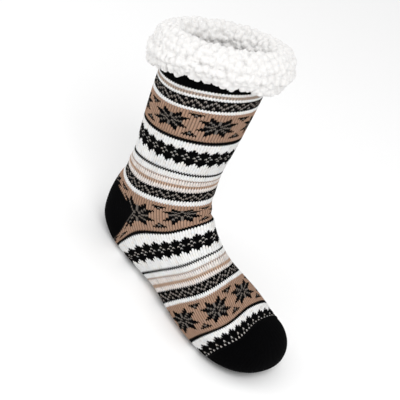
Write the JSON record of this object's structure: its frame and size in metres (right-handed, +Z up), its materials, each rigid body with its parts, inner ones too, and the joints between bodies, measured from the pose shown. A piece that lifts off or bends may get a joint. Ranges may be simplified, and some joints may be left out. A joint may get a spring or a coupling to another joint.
{
  "type": "slipper sock",
  "caption": "Knitted slipper sock with a black heel and toe, star and stripe bands and a turned-down sherpa cuff, open at the collar for a foot",
  "frame": {"origin": "middle of the bounding box's base, on the floor that the sock stands on", "axes": "+X from heel to toe, +Y to the outer side of this left foot, +Z up"},
  "size_m": [0.2778, 0.1368, 0.2637],
  "materials": {
    "knit": "plain knit of thick acrylic yarn, black pockets with white, tan and cream bands",
    "sherpa": "curly white sherpa fleece"
  },
  "bodies": {
    "root": {"knit_sock": "knit", "sherpa_cuff": "sherpa"}
  },
  "joints": []
}
